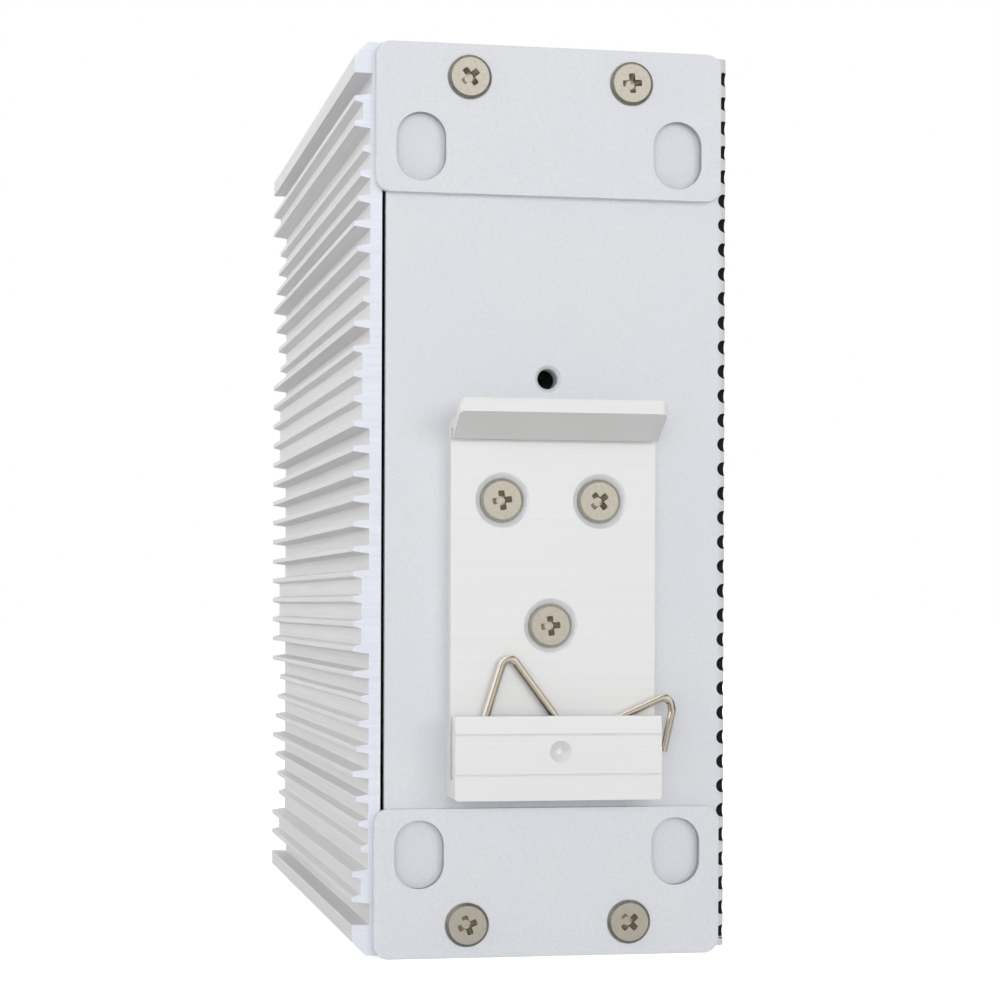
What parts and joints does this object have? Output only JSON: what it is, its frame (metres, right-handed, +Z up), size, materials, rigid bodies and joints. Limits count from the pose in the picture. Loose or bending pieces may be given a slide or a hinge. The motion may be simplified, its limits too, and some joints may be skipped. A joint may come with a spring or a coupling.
{
  "type": "din rail ethernet switch",
  "caption": "Slim finned metal box with network jacks and a power terminal on one end and a sprung rail clip with two wall plates on the other.",
  "frame": {"origin": "under the middle of the whole product's box, at the lower wall plate's lower edge", "axes": "+Z up the tall side, +Y out of the rail clip, -Y out of the ports, +X out of the finned cover"},
  "size_m": [0.0464, 0.112, 0.11],
  "materials": {
    "case_paint": "fine-textured powder coat",
    "cover_anodised": "clear anodised extrusion",
    "bracket_anodised": "matt clear anodised extrusion",
    "spring_wire": "drawn nickel-plated spring wire",
    "screw_steel": "nickel-plated",
    "board": "solder mask over glass epoxy",
    "brass_plated": "nickel-plated brass",
    "jack_shield": "tinned sheet",
    "jack_plastic": "moulded",
    "contact_gold": "gold-plated",
    "light_diffuser": "translucent",
    "clear_pipe": "clear moulding",
    "led_body": "encapsulated",
    "terminal_plastic": "moulded",
    "tinned_pin": "tinned",
    "clamp_steel": "zinc-plated",
    "chip_epoxy": "moulded epoxy",
    "thermal_pad": "soft filled silicone",
    "heat_block": "machined",
    "capacitor_can": "plain sleeved can",
    "ferrite": "sintered",
    "winding_tape": "taped winding"
  },
  "bodies": {
    "case": {"chassis": "case_paint", "heat_sink_cover": "cover_anodised", "upper_wall_plate": "case_paint", "lower_wall_plate": "case_paint", "din_rail_bracket": "bracket_anodised", "clip_spring": "spring_wire", "wall_plate_screws": "screw_steel", "bracket_screws": "screw_steel", "cover_screws": "screw_steel", "main_board": "board", "board_standoffs": "brass_plated", "board_screws": "screw_steel", "jack_shell": "jack_shield", "lower_jack_insert": "jack_plastic", "upper_jack_insert": "jack_plastic", "jack_contacts": "contact_gold", "port_lights": "light_diffuser", "status_light_pipes": "clear_pipe", "status_leds": "led_body", "terminal_header": "terminal_plastic", "header_pins": "tinned_pin", "switch_chip": "chip_epoxy", "chip_pad": "thermal_pad", "heat_block": "heat_block", "cover_pad": "thermal_pad", "phy_chips": "chip_epoxy", "line_magnetics": "chip_epoxy", "bulk_capacitors": "capacitor_can", "power_inductors": "ferrite", "transformer_core": "ferrite", "transformer_bobbin": "winding_tape"},
    "plug": {"terminal_plug": "terminal_plastic", "terminal_clamps": "clamp_steel", "terminal_screws": "screw_steel"}
  },
  "joints": [
    {"name": "terminal_plug_pull", "type": "slide", "parent": "case", "child": "plug", "axis": [0, -1, 0], "range_m": [0, 0.012]}
  ]
}
